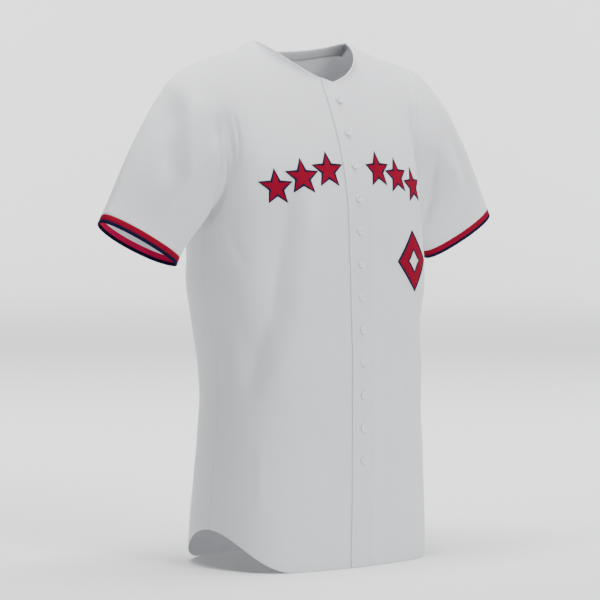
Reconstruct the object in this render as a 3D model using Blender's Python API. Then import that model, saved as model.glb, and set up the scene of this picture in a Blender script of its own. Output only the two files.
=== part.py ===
"""Baseball jersey with short sleeves, a V neck and a buttoned front, hollow and in the form it is worn in."""
from collections import namedtuple
from math import cos, hypot, pi, radians, sin

import bmesh
import bpy
import numpy as np
from mathutils import Matrix, Vector

# Lengths are in millimetres and become metres when a mesh is made. X runs to the wearer's left, Y to
# the back and Z up. The origin is midway between the high points of the two shoulders.
MM = 0.001
FRONT = -1
BACK = 1
LEFT = 1
RIGHT = -1

# Cloth
WALL = 1.8
SEAM_INSET = 0.2
LAYER_GAP = 0.4

# Torso. The rings are ellipses squared off a little, each with its own front and back.
Ring = namedtuple("Ring", "z half_width front back")
RINGS = (
    Ring(-745, 178, -134, 117),
    Ring(-660, 174, -136, 114),
    Ring(-570, 167, -137, 107),
    Ring(-500, 162, -137, 104),
    Ring(-455, 164, -137, 108),
    Ring(-400, 169, -135, 116),
    Ring(-345, 178, -133, 120),
    Ring(-295, 182, -132, 121),
    Ring(-245, 178, -131, 120),
)
SQUARENESS = {FRONT: 0.06, BACK: 0.03}
CHEST_Z = -245
HEM_Z = -740
TAIL_RISE = 55
TAIL_STARTS = 0.35
QUARTER_CHEST = 250

# Neckline and shoulder seam of the wearer's left half
Point = namedtuple("Point", "x y z")
SHOULDER_TIP = Point(207, -6, -39)
SHOULDER_SEAM = (Point(85, 0, 0), Point(130, -2, -17), Point(172, -4, -28), SHOULDER_TIP)
NECKLINE = {
    FRONT: (
        Point(0, -71, -60), Point(28, -66, -50), Point(55, -54, -34), Point(76, -27, -12), Point(85, 0, 0)),
    BACK: (Point(0, 58, -13), Point(32, 53, -12), Point(60, 38, -9), Point(78, 18, -4), Point(85, 0, 0)),
}

# How the cloth leaves the chest ring and how it reaches the neckline, the shoulder and the armhole
Yoke = namedtuple("Yoke", "chest_centre chest_side top_centre top_neck top_shoulder top_armhole")
YOKE = {
    FRONT: Yoke((0, 10, 185), (-50, -205, 75), (0, 98, 157), (0, 120, 95), (0, 125, 12), (95, 190, 75)),
    BACK: Yoke((0, 25, 165), (-50, 200, 75), (0, -120, 120), (0, -120, 95), (0, -125, 12), (95, -180, 75)),
}
SIDE_BEGINS = 0.45
SHOULDER_BLEND = 0.22
ARMHOLE_BEGINS = 0.70
SMOOTHING_PASSES = 14
SMOOTHING_WEIGHT = 0.5
SMOOTHED_BELOW_CHEST = 3
SMOOTHING_FADE = 4

# Sleeves. The cuff is across an arm that hangs away from the body: half an ellipse in front, a deeper
# one at the back.
ARM_ANGLE = radians(27)
CUFF_CENTRE = Point(297, -12, -284)
CUFF_ACROSS = 69
CUFF_DEEP = {FRONT: 24, BACK: 46}
BAND_WIDTH = 8
EDGE_WIDTH = 4.5
Pull = namedtuple("Pull", "x y z length")
CAP_TOP = Pull(0.95, -0.03, -0.31, 215)
CAP_FRONT = Pull(0.86, -0.48, -0.14, 215)
CAP_BACK = Pull(0.75, 0.50, -0.43, 120)
CAP_UNDER = Pull(0.56, 0.0, -0.83, 70)
CUFF_PULL_UNDER = 60
CUFF_PULL_TOP = 170
CAP_SIDE_SHARPNESS = 1.5

# Placket, facing and buttons
LEFT_LAP = 19
RIGHT_LAP = 17
LAP_LIFT = WALL + LAYER_GAP
LIFT_STARTS = 38
LIFT_FULL = 20
FACING_WALL = 1.0
FACING_CLEAR = 0.4
FACING_BELOW_EDGE = 1.0
BUTTON_COUNT = 12
BUTTON_TOP_Z = -84
BUTTON_PITCH = 46
BUTTON_RADIUS = 5.75
BUTTON_THICKNESS = 2.4
BUTTON_ROUND = 0.7
BUTTON_SIDES = 16
SHARP_ANGLE = radians(50)

# Mesh
COLUMNS = 14
NECK_COLUMNS = 5
LOWER_ROWS = 17
YOKE_ROWS = 12
SLEEVE_ROWS = 10
LAP_REACH = 3
SAME_PLACE = 0.1

# Soft folds of the torso, in millimetres round from the centre and in height; a negative depth is a
# ridge. Positive across is the wearer's left.
BodyFold = namedtuple("BodyFold", "side across_top z_top across_low z_low bow width depth")
BODY_FOLDS = (
    BodyFold(FRONT, -84, -165, -216, -530, 22, 27, 12.0),
    BodyFold(FRONT, -60, -180, -160, -505, 33, 20, -6.0),
    BodyFold(FRONT, -242, -80, -251, -232, 8, 26, 7.0),
    BodyFold(FRONT, 217, -84, 247, -245, -28, 14, 5.5),
    BodyFold(FRONT, 246, -222, 205, -345, 6, 16, 4.5),
    BodyFold(FRONT, 116, -350, 172, -505, 6, 18, 4.0),
    BodyFold(FRONT, 62, -400, 84, -540, -6, 20, 3.0),
    BodyFold(FRONT, -205, -350, -178, -520, 6, 18, 3.0),
    BodyFold(BACK, -212, -92, -246, -262, 24, 16, 5.0),
    BodyFold(BACK, 212, -92, 246, -262, -24, 16, 5.0),
    BodyFold(BACK, -70, -330, -110, -560, 8, 24, 5.5),
    BodyFold(BACK, 85, -350, 60, -580, -8, 24, 5.0),
    BodyFold(BACK, 0, -380, 10, -540, 10, 26, -3.0),
    BodyFold(BACK, 165, -330, 150, -520, 8, 20, 4.0),
)

# Soft folds of the sleeves. Around is in degrees from the top over the front, along is a share of the
# sleeve's length.
SleeveFold = namedtuple("SleeveFold", "side around_in along_in around_out along_out bow width depth")
SLEEVE_FOLDS = (
    SleeveFold(RIGHT, 6, 0.18, 76, 0.66, 0, 17, 9.0),
    SleeveFold(RIGHT, 22, 0.09, 102, 0.54, 0, 14, -5.0),
    SleeveFold(RIGHT, 56, 0.07, 134, 0.09, 0, 16, 8.0),
    SleeveFold(RIGHT, 150, 0.05, 110, 0.45, 6, 12, 4.0),
    SleeveFold(RIGHT, 300, 0.20, 310, 0.75, 6, 16, 4.5),
    SleeveFold(RIGHT, 235, 0.06, 262, 0.50, 6, 13, 4.0),
    SleeveFold(LEFT, 50, 0.20, 62, 0.88, -5, 15, 4.5),
    SleeveFold(LEFT, 150, 0.05, 108, 0.50, 6, 13, 4.5),
    SleeveFold(LEFT, 95, 0.30, 88, 0.75, 4, 12, -2.5),
    SleeveFold(LEFT, 305, 0.25, 318, 0.80, -5, 16, 4.0),
    SleeveFold(LEFT, 230, 0.06, 258, 0.45, 6, 13, 4.5),
)
SLEEVE_RADIUS = 62
SLEEVE_LENGTH = 215
FOLD_FADE = 0.35

CLOTH_GREY = (0.68, 0.69, 0.71, 1)
BAND_RED = (0.45, 0.012, 0.03, 1)
EDGE_NAVY = (0.012, 0.010, 0.045, 1)
BUTTON_WHITE = (0.75, 0.76, 0.78, 1)


def ease(share):
    share = np.clip(share, 0, 1)
    return share * share * (3 - 2 * share)


def unit(vectors):
    return vectors / np.linalg.norm(vectors, axis=-1, keepdims=True)


def smooth_through(stations, values, at):
    """A smooth curve through the values at rising stations."""
    slopes = np.gradient(values, stations)
    left = np.clip(np.searchsorted(stations, at) - 1, 0, len(stations) - 2)
    step = stations[left + 1] - stations[left]
    t = (at - stations[left]) / step
    return ((2 * t**3 - 3 * t**2 + 1) * values[left] + (t**3 - 2 * t**2 + t) * step * slopes[left]
            + (3 * t**2 - 2 * t**3) * values[left + 1] + (t**3 - t**2) * step * slopes[left + 1])


def curve_through(points, count):
    """Points spaced evenly along a smooth curve through the given ones."""
    points = np.array(points, float)
    along = np.concatenate([[0], np.cumsum(np.linalg.norm(np.diff(points, axis=0), axis=1))])
    stations = np.linspace(0, along[-1], count)
    return np.stack([smooth_through(along, points[:, axis], stations) for axis in range(3)], axis=1)


def span(start, leave, end, arrive, t):
    """A cubic from start to end with given pulls at both."""
    return ((2 * t**3 - 3 * t**2 + 1) * start + (t**3 - 2 * t**2 + t) * leave
            + (3 * t**2 - 2 * t**3) * end + (t**3 - t**2) * arrive)


def torso_ring(z, share, side):
    """Half a ring at height z, from its centre (share 0) to its side seam (share 1)."""
    table = np.array(RINGS, float)
    half_width, front, back = (smooth_through(table[:, 0], table[:, i], z) for i in (1, 2, 3))
    middle = (front + back) / 2
    depth = (back - front) / 2
    angle = share * pi / 2
    square = SQUARENESS[side]
    x = half_width * (np.sin(angle) + square * np.sin(3 * angle)) / (1 - square)
    y = middle + side * depth * (np.cos(angle) - square * np.cos(3 * angle)) / (1 - square)
    return np.stack([x, y, z + 0 * x], axis=-1)


def lower_half(side):
    """Rows from the shirt-tail hem up to the chest ring."""
    share = np.linspace(0, 1, COLUMNS + 1)
    hem = HEM_Z + TAIL_RISE * ease((share - TAIL_STARTS) / (1 - TAIL_STARTS))
    rows = [hem + (CHEST_Z - hem) * row / LOWER_ROWS for row in range(LOWER_ROWS + 1)]
    return np.array([torso_ring(z, share, side) for z in rows])


def yoke_half(side):
    """Rows from the chest ring up to the neckline, the shoulder seam and the armhole."""
    share = np.linspace(0, 1, COLUMNS + 1)
    neck = curve_through(NECKLINE[side], NECK_COLUMNS + 1)
    shoulder = curve_through(SHOULDER_SEAM, COLUMNS - NECK_COLUMNS + 1)
    top = np.vstack([neck, shoulder[1:]])
    chest = torso_ring(np.full(COLUMNS + 1, float(CHEST_Z)), share, side)
    pulls = Yoke(*(np.array(vector, float) for vector in YOKE[side]))
    neck_share = NECK_COLUMNS / COLUMNS
    to_side = ease((share - SIDE_BEGINS) / (1 - SIDE_BEGINS))[:, None]
    to_neck = ease(share / neck_share)[:, None]
    to_shoulder = ease((share - neck_share) / SHOULDER_BLEND)[:, None]
    to_armhole = ease((share - ARMHOLE_BEGINS) / (1 - ARMHOLE_BEGINS))[:, None]
    leave = pulls.chest_centre + (pulls.chest_side - pulls.chest_centre) * to_side
    arrive = pulls.top_centre + (pulls.top_neck - pulls.top_centre) * to_neck
    arrive = arrive + (pulls.top_shoulder - arrive) * to_shoulder
    arrive = arrive + (pulls.top_armhole - arrive) * to_armhole
    return np.array([span(chest, leave, top, arrive, row / YOKE_ROWS) for row in range(YOKE_ROWS + 1)])


def mirrored(grid):
    return grid * np.array([-1.0, 1.0, 1.0])


def relaxed(grid):
    """Evens out the yoke between its edges, so that the cloth spans them without creases."""
    grid = grid.copy()
    first = LOWER_ROWS - SMOOTHED_BELOW_CHEST
    fade = ease((np.arange(first, len(grid) - 1) - first + 1) / SMOOTHING_FADE)
    weight = SMOOTHING_WEIGHT * fade[:, None, None]
    for _ in range(SMOOTHING_PASSES):
        around = (grid[first - 1:-2, 1:-1] + grid[first + 1:, 1:-1]
                  + grid[first:-1, :-2] + grid[first:-1, 2:]) / 4
        middle = grid[first:-1, 1:-1]
        grid[first:-1, 1:-1] = middle + weight * (around - middle)
    return grid


def torso_side(side):
    """The whole front or back, from the wearer's right side seam to the left one, hem to shoulder."""
    half = np.vstack([lower_half(side), yoke_half(side)[1:]])
    whole = np.concatenate([mirrored(half)[:, :0:-1], half], axis=1)
    return relaxed(whole)


def left_sleeve(front, back):
    """Rings from the armhole to the end of the cuff; each starts at the top and goes over the front."""
    armhole = np.vstack([front[LOWER_ROWS:, -1][::-1], back[LOWER_ROWS + 1:-1, -1]])
    count = len(armhole)
    angle = np.arange(count)[:, None] * 2 * pi / count
    across = np.array([cos(ARM_ANGLE), 0, sin(ARM_ANGLE)])
    axis = np.array([sin(ARM_ANGLE), 0, -cos(ARM_ANGLE)])
    backwards = np.array([0, 1.0, 0])
    deep = np.where(np.sin(angle) > 0, CUFF_DEEP[FRONT], CUFF_DEEP[BACK])
    cuff = np.array(CUFF_CENTRE) + CUFF_ACROSS * np.cos(angle) * across - deep * np.sin(angle) * backwards
    sleeve_end = cuff - axis * (BAND_WIDTH + EDGE_WIDTH)
    parts = (
        (CAP_TOP, np.clip(np.cos(angle), 0, 1)),
        (CAP_UNDER, np.clip(-np.cos(angle), 0, 1)),
        (CAP_FRONT, np.clip(np.sin(angle), 0, 1) ** CAP_SIDE_SHARPNESS),
        (CAP_BACK, np.clip(-np.sin(angle), 0, 1) ** CAP_SIDE_SHARPNESS),
    )
    total = sum(weight for _, weight in parts)
    leave = sum(np.array(pull[:3]) * pull.length * weight for pull, weight in parts) / total
    arrive = axis * (CUFF_PULL_UNDER + (CUFF_PULL_TOP - CUFF_PULL_UNDER) * (1 + np.cos(angle)) / 2)
    rows = [span(armhole, leave, sleeve_end, arrive, row / SLEEVE_ROWS) for row in range(SLEEVE_ROWS + 1)]
    return np.array(rows + [cuff - axis * EDGE_WIDTH, cuff])


def fold_depth(u, v, start, end, bow, width, depth):
    """Depth of one soft trough that runs from start to end on the flat cloth and bows sideways."""
    run = np.array(end, float) - np.array(start, float)
    length = hypot(*run)
    along = ((u - start[0]) * run[0] + (v - start[1]) * run[1]) / length**2
    aside = ((v - start[1]) * run[0] - (u - start[0]) * run[1]) / length
    inside = np.clip(along, 0, 1)
    aside = aside - bow * 4 * inside * (1 - inside)
    beyond = (along - inside) * length
    fade = ease(inside / FOLD_FADE) * ease((1 - inside) / FOLD_FADE)
    return depth * fade * np.exp(-(aside**2 + beyond**2) / width**2)


def torso_depths(side, grid):
    share = np.linspace(-1, 1, grid.shape[1])[None, :]
    u = share * QUARTER_CHEST + 0 * grid[..., 0]
    depths = np.zeros(grid.shape[:2])
    for fold in BODY_FOLDS:
        if fold.side == side:
            start = (fold.across_top, fold.z_top)
            end = (fold.across_low, fold.z_low)
            depths += fold_depth(u, grid[..., 2], start, end, fold.bow, fold.width, fold.depth)
    return depths


def sleeve_depths(side, grid):
    rows, count = grid.shape[:2]
    angle = np.arange(count)[None, :] * 360 / count
    v = np.minimum(np.arange(rows)[:, None] / SLEEVE_ROWS, 1) * SLEEVE_LENGTH
    depths = np.zeros((rows, count))
    for fold in SLEEVE_FOLDS:
        if fold.side != side:
            continue
        middle = (fold.around_in + fold.around_out) / 2
        u = np.radians((angle - middle + 180) % 360 - 180 + middle) * SLEEVE_RADIUS
        start = (radians(fold.around_in) * SLEEVE_RADIUS, fold.along_in * SLEEVE_LENGTH)
        end = (radians(fold.around_out) * SLEEVE_RADIUS, fold.along_out * SLEEVE_LENGTH)
        depths += fold_depth(u, v, start, end, fold.bow, fold.width, fold.depth)
    return depths


def shared_points(grids):
    """Numbers the places of all grids, the same number where two pieces meet."""
    points = np.vstack([grid.reshape(-1, 3) for grid in grids])
    _, numbers = np.unique(np.round(points / SAME_PLACE).astype(int), axis=0, return_inverse=True)
    return numbers.reshape(-1)


def split_like(values, grids):
    ends = np.cumsum([grid.shape[0] * grid.shape[1] for grid in grids])[:-1]
    return [part.reshape(grid.shape) for part, grid in zip(np.split(values, ends), grids)]


def averaged(grids, numbers):
    """Gives places that share a number their mean value."""
    values = np.vstack([grid.reshape(-1, 3) for grid in grids])
    total = np.zeros((numbers.max() + 1, 3))
    np.add.at(total, numbers, values)
    count = np.bincount(numbers)[:, None]
    return split_like((total / count)[numbers], grids)


def grid_normals(grid, closed, turn):
    """Outward normals, from the directions along the rows and the columns."""
    if closed:
        along_row = np.roll(grid, -1, axis=1) - np.roll(grid, 1, axis=1)
    else:
        along_row = np.gradient(grid, axis=1)
    return unit(turn * np.cross(along_row, np.gradient(grid, axis=0)))


def coat():
    """Outer points and normals of the front, the back and the two sleeves, with their folds."""
    front = torso_side(FRONT)
    back = torso_side(BACK)
    sleeve = left_sleeve(front, back)
    grids = [front, back, sleeve, mirrored(sleeve)]
    closed = (False, False, True, True)
    turns = (1, -1, 1, -1)
    numbers = shared_points(grids)
    depths = [torso_depths(FRONT, front), torso_depths(BACK, back)]
    depths += [sleeve_depths(LEFT, sleeve), sleeve_depths(RIGHT, sleeve)]
    normals = averaged([grid_normals(*row) for row in zip(grids, closed, turns)], numbers)
    folded = [grid - depth[..., None] * unit(normal) for grid, depth, normal in zip(grids, depths, normals)]
    folded = averaged(folded, numbers)
    normals = averaged([grid_normals(*row) for row in zip(folded, closed, turns)], numbers)
    return folded, [unit(normal) for normal in normals]


def moved_in(grid, row=None, column=None, first=0, last=None, amount=SEAM_INSET):
    """Draws one border back from its seam, towards the next row or column."""
    grid = grid.copy()
    part = slice(first, last)
    if row is not None:
        inward = grid[1 if row == 0 else -2, part] - grid[row, part]
        grid[row, part] += unit(inward) * amount
    if column is not None:
        inward = grid[part, 1 if column == 0 else -2] - grid[part, column]
        grid[part, column] += unit(inward) * amount
    return grid


def wall_object(name, outer, inward, closed, turn, material):
    """A closed wall of cloth between the outer points and the same points moved along inward.

    Closed says that the rows join into rings, and turn is 1 where rows and columns turn outwards.
    Both faces of the wall are split along the same diagonals, so that layers lie evenly on each other.
    """
    rows, count = outer.shape[:2]
    points = np.vstack([outer.reshape(-1, 3), (outer + inward).reshape(-1, 3)]) * MM
    inner = rows * count
    faces = []

    def number(row, column, layer):
        return layer * inner + row * count + column % count

    for row in range(rows - 1):
        for column in range(count if closed else count - 1):
            corners = ((row, column), (row, column + 1), (row + 1, column + 1), (row + 1, column))
            for half in (corners[:3], (corners[0],) + corners[2:]):
                faces.append([number(*corner, 0) for corner in half])
                faces.append([number(*corner, 1) for corner in reversed(half)])

    def close_rim(here, there):
        """Joins the two layers along one border; the diagonal runs in from the higher outer corner."""
        corners = (number(*there, 0), number(*here, 0), number(*here, 1), number(*there, 1))
        if points[corners[0], 2] > points[corners[1], 2]:
            faces.extend([[corners[0], corners[1], corners[2]], [corners[0], corners[2], corners[3]]])
        else:
            faces.extend([[corners[1], corners[2], corners[3]], [corners[1], corners[3], corners[0]]])

    for column in range(count if closed else count - 1):
        close_rim((0, column), (0, column + 1))
        close_rim((rows - 1, column + 1), (rows - 1, column))
    if not closed:
        for row in range(rows - 1):
            close_rim((row + 1, 0), (row, 0))
            close_rim((row, count - 1), (row + 1, count - 1))
    if turn < 0:
        faces = [face[::-1] for face in faces]
    mesh = bpy.data.meshes.new(name)
    mesh.from_pydata([tuple(point) for point in points], [], faces)
    mesh.materials.append(material)
    mesh.shade_smooth()
    mesh.set_sharp_from_angle(angle=SHARP_ANGLE)
    made = bpy.data.objects.new(name, mesh)
    bpy.context.scene.collection.objects.link(made)
    return made


def row_at_x(grid, row, x):
    """A point of one row at the given x, where x rises along the row."""
    return np.array([np.interp(x, grid[row, :, 0], grid[row, :, axis]) for axis in range(3)])


def lap(grid, normals, edges, middle):
    """Extra columns past the centre front, at the given x of the wearer's left or right front."""
    near = slice(middle - LAP_REACH, middle + LAP_REACH + 1)
    points = np.zeros((len(grid), len(edges), 3))
    turned = np.zeros_like(points)
    for row in range(len(grid)):
        for column, x in enumerate(edges):
            points[row, column] = row_at_x(grid[:, near], row, x)
            for axis in range(3):
                turned[row, column, axis] = np.interp(x, grid[row, near, 0], normals[row, near, axis])
    return points, unit(turned)


def front_panels(front, normals):
    """The two fronts: the wearer's left one laps over the right one and is lifted clear of it."""
    middle = COLUMNS
    right_lap, right_lap_normals = lap(front, normals, (RIGHT_LAP / 2, RIGHT_LAP), middle)
    right = np.concatenate([front[:, :middle + 1], right_lap], axis=1)
    right_normals = np.concatenate([normals[:, :middle + 1], right_lap_normals], axis=1)
    left_lap, left_lap_normals = lap(front, normals, (-LEFT_LAP, -LEFT_LAP / 2), middle)
    left = np.concatenate([left_lap, front[:, middle:]], axis=1)
    left_normals = np.concatenate([left_lap_normals, normals[:, middle:]], axis=1)
    lift = LAP_LIFT * ease((LIFT_STARTS - left[..., 0]) / (LIFT_STARTS - LIFT_FULL))
    left = left + lift[..., None] * left_normals
    return (right, right_normals), (left, left_normals)


def make_fronts(front, normals, material):
    (right, right_normals), (left, left_normals) = front_panels(front, normals)
    seam_column = COLUMNS - NECK_COLUMNS
    right = moved_in(right, row=-1, last=seam_column + 1)
    right = moved_in(right, column=0)
    wall_object("front_right", right, -WALL * right_normals, False, 1, material)
    left = moved_in(left, row=-1, first=-seam_column - 1)
    left = moved_in(left, column=-1)
    wall_object("front_left", left, -WALL * left_normals, False, 1, material)
    return left, left_normals


def make_back(back, normals, material):
    seam_column = COLUMNS - NECK_COLUMNS
    cut = moved_in(back, row=-1, last=seam_column + 1)
    cut = moved_in(cut, row=-1, first=-seam_column - 1)
    cut = moved_in(cut, column=0)
    cut = moved_in(cut, column=-1)
    wall_object("back", cut, -WALL * normals, False, -1, material)


def make_sleeve(side_name, turn, grid, normals, cloth, band, edge):
    """A sleeve, its cuff band and the binding at its rim."""
    pieces = (
        ("sleeve_", slice(0, SLEEVE_ROWS + 1), cloth),
        ("band_", slice(SLEEVE_ROWS, SLEEVE_ROWS + 2), band),
        ("edge_", slice(SLEEVE_ROWS + 1, SLEEVE_ROWS + 3), edge),
    )
    for name, rows, material in pieces:
        part = moved_in(grid[rows], row=0)
        if name != "edge_":
            part = moved_in(part, row=-1)
        wall_object(name + side_name, part, -WALL * normals[rows], True, turn, material)


def make_facing(back, normals, material):
    """The strip inside the back neckline, from one shoulder seam to the other."""
    columns = slice(COLUMNS - NECK_COLUMNS, COLUMNS + NECK_COLUMNS + 1)
    turned = normals[-2:, columns]
    strip = moved_in(back[-2:, columns], row=-1, amount=FACING_BELOW_EDGE)
    strip = moved_in(moved_in(strip, column=0), column=-1)
    outer = strip - (WALL + FACING_CLEAR) * turned
    wall_object("neck_facing", outer, -FACING_WALL * turned, False, -1, material)


def make_button(number, place, normal, material):
    name = f"button_{number:02d}"
    mesh = bpy.data.meshes.new(name)
    shape = bmesh.new()
    bmesh.ops.create_cone(
        shape, cap_ends=True, segments=BUTTON_SIDES, radius1=BUTTON_RADIUS * MM, radius2=BUTTON_RADIUS * MM,
        depth=BUTTON_THICKNESS * MM)
    rim = [edge for edge in shape.edges if all(vert.co.z > 0 for vert in edge.verts)]
    bmesh.ops.bevel(shape, geom=rim, offset=BUTTON_ROUND * MM, segments=1, affect="EDGES")
    shape.to_mesh(mesh)
    shape.free()
    mesh.materials.append(material)
    mesh.shade_smooth()
    mesh.set_sharp_from_angle(angle=SHARP_ANGLE)
    made = bpy.data.objects.new(name, mesh)
    height = BUTTON_THICKNESS / 2 + LAYER_GAP
    turn = Vector(normal).to_track_quat("Z", "X").to_matrix().to_4x4()
    made.matrix_world = Matrix.Translation(Vector((place + height * normal) * MM)) @ turn
    bpy.context.scene.collection.objects.link(made)


def make_buttons(left, normals, material):
    """Buttons down the centre front, on the lapped left front."""
    lap_columns = left.shape[1] - COLUMNS - 1
    centre = left[:, lap_columns]
    centre_normals = normals[:, lap_columns]
    for number in range(BUTTON_COUNT):
        z = BUTTON_TOP_Z - number * BUTTON_PITCH
        place = np.array([np.interp(z, centre[:, 2], centre[:, axis]) for axis in range(3)])
        turned = np.array([np.interp(z, centre[:, 2], centre_normals[:, axis]) for axis in range(3)])
        make_button(number + 1, place, unit(turned), material)


def make_material(name, colour, roughness):
    material = bpy.data.materials.new(name)
    material.use_nodes = True
    shader = material.node_tree.nodes["Principled BSDF"]
    shader.inputs["Base Color"].default_value = colour
    shader.inputs["Roughness"].default_value = roughness
    shader.inputs["Metallic"].default_value = 0
    return material


def clear_scene():
    for old in list(bpy.data.objects):
        bpy.data.objects.remove(old, do_unlink=True)


clear_scene()
cloth_grey = make_material("cloth_grey", CLOTH_GREY, 0.8)
band_red = make_material("band_red", BAND_RED, 0.75)
edge_navy = make_material("edge_navy", EDGE_NAVY, 0.7)
button_white = make_material("button_white", BUTTON_WHITE, 0.35)
(front_grid, back_grid, left_grid, right_grid), (front_n, back_n, left_n, right_n) = coat()
left_front, left_front_n = make_fronts(front_grid, front_n, cloth_grey)
make_back(back_grid, back_n, cloth_grey)
make_sleeve("left", 1, left_grid, left_n, cloth_grey, band_red, edge_navy)
make_sleeve("right", -1, right_grid, right_n, cloth_grey, band_red, edge_navy)
make_facing(back_grid, back_n, cloth_grey)
make_buttons(left_front, left_front_n, button_white)
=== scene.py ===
"""Studio scene of a baseball jersey: knit cloth, sewing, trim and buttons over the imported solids."""
from collections import namedtuple
from math import ceil, cos, hypot, pi, radians, sin

import bpy
import numpy as np
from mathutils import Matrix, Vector, noise


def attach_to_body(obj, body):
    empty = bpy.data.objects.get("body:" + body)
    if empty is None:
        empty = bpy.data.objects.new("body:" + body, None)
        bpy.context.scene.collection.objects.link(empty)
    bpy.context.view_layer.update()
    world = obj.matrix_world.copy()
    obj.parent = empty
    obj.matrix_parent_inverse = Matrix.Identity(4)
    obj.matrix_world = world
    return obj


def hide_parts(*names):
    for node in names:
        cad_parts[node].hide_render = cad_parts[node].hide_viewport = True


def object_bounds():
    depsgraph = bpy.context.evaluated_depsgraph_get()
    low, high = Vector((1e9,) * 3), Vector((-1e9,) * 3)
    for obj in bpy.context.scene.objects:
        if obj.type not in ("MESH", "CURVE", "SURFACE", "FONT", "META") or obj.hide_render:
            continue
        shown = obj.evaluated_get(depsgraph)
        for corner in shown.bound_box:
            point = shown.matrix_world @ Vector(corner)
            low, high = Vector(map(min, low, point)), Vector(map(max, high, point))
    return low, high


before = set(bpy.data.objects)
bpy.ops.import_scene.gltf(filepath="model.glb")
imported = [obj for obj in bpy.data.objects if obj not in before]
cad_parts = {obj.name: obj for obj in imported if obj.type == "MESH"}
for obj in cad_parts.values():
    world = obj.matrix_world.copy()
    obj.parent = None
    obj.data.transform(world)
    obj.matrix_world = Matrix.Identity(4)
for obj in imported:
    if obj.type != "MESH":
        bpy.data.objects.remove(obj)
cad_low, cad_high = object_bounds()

# Lengths are in millimetres and become metres when a mesh is made. X runs to the wearer's left, Y to
# the back and Z up. The origin is midway between the high points of the two shoulders.
MM = 0.001
# Places on the flat cloth, as its materials read them, are in centimetres
FLAT_SCALE = 0.1
FRONT = -1
BACK = 1
LEFT = 1
RIGHT = -1

# The solids' own form, which the cloth follows. A ring's row is its height, half width, front and back.
RINGS = (
    (-745, 178, -134, 117),
    (-660, 174, -136, 114),
    (-570, 167, -137, 107),
    (-500, 162, -137, 104),
    (-455, 164, -137, 108),
    (-400, 169, -135, 116),
    (-345, 178, -133, 120),
    (-295, 182, -132, 121),
    (-245, 178, -131, 120),
)
SQUARENESS = {FRONT: 0.06, BACK: 0.03}
CHEST_Z = -245
HEM_Z = -740
TAIL_RISE = 55
TAIL_STARTS = 0.35
QUARTER_CHEST = 250
Point = namedtuple("Point", "x y z")
SHOULDER_TIP = Point(207, -6, -39)
SHOULDER_SEAM = (Point(85, 0, 0), Point(130, -2, -17), Point(172, -4, -28), SHOULDER_TIP)
NECKLINE = {
    FRONT: (
        Point(0, -71, -60), Point(28, -66, -50), Point(55, -54, -34), Point(76, -27, -12), Point(85, 0, 0)),
    BACK: (Point(0, 58, -13), Point(32, 53, -12), Point(60, 38, -9), Point(78, 18, -4), Point(85, 0, 0)),
}
Yoke = namedtuple("Yoke", "chest_centre chest_side top_centre top_neck top_shoulder top_armhole")
YOKE = {
    FRONT: Yoke((0, 10, 185), (-50, -205, 75), (0, 98, 157), (0, 120, 95), (0, 125, 12), (95, 190, 75)),
    BACK: Yoke((0, 25, 165), (-50, 200, 75), (0, -120, 120), (0, -120, 95), (0, -125, 12), (95, -180, 75)),
}
SIDE_BEGINS = 0.45
SHOULDER_BLEND = 0.22
ARMHOLE_BEGINS = 0.70
SMOOTHING_PASSES = 14
SMOOTHING_WEIGHT = 0.5
SMOOTHED_BELOW_CHEST = 3
SMOOTHING_FADE = 4
ARM_ANGLE = radians(27)
CUFF_CENTRE = Point(297, -12, -284)
CUFF_ACROSS = 69
CUFF_DEEP = {FRONT: 24, BACK: 46}
BAND_WIDTH = 8
EDGE_WIDTH = 4.5
Pull = namedtuple("Pull", "x y z length")
CAP_TOP = Pull(0.95, -0.03, -0.31, 215)
CAP_FRONT = Pull(0.86, -0.48, -0.14, 215)
CAP_BACK = Pull(0.75, 0.50, -0.43, 120)
CAP_UNDER = Pull(0.56, 0.0, -0.83, 70)
CUFF_PULL_UNDER = 60
CUFF_PULL_TOP = 170
CAP_SIDE_SHARPNESS = 1.5
LEFT_LAP = 19
RIGHT_LAP = 17
FACING_WALL = 1.0
FACING_CLEAR = 0.3
FACING_BELOW_EDGE = 1.0
LAP_LIFT = 2.2
LIFT_STARTS = 38
LIFT_FULL = 20
BUTTON_TOP_Z = -84
BUTTON_PITCH = 46
BUTTON_COUNT = 12
COLUMNS = 14
NECK_COLUMNS = 5
LOWER_ROWS = 17
YOKE_ROWS = 12
LAP_REACH = 3
SLEEVE_RADIUS = 62
SLEEVE_LENGTH = 215
FOLD_FADE = 0.35

# Soft folds of the torso, in millimetres round from the centre and in height; a negative depth is a
# ridge. Positive across is the wearer's left.
BodyFold = namedtuple("BodyFold", "side across_top z_top across_low z_low bow width depth")
BODY_FOLDS = tuple(BodyFold(*row) for row in (
    (FRONT, -84, -165, -216, -530, 22, 27, 12.0),
    (FRONT, -60, -180, -160, -505, 33, 20, -6.0),
    (FRONT, -242, -80, -251, -232, 8, 26, 7.0),
    (FRONT, 217, -84, 247, -245, -28, 14, 5.5),
    (FRONT, 246, -222, 205, -345, 6, 16, 4.5),
    (FRONT, 116, -350, 172, -505, 6, 18, 4.0),
    (FRONT, 62, -400, 84, -540, -6, 20, 3.0),
    (FRONT, -205, -350, -178, -520, 6, 18, 3.0),
    (BACK, -212, -92, -246, -262, 24, 16, 5.0),
    (BACK, 212, -92, 246, -262, -24, 16, 5.0),
    (BACK, -70, -330, -110, -560, 8, 24, 5.5),
    (BACK, 85, -350, 60, -580, -8, 24, 5.0),
    (BACK, 0, -380, 10, -540, 10, 26, -3.0),
    (BACK, 165, -330, 150, -520, 8, 20, 4.0),
))
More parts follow.
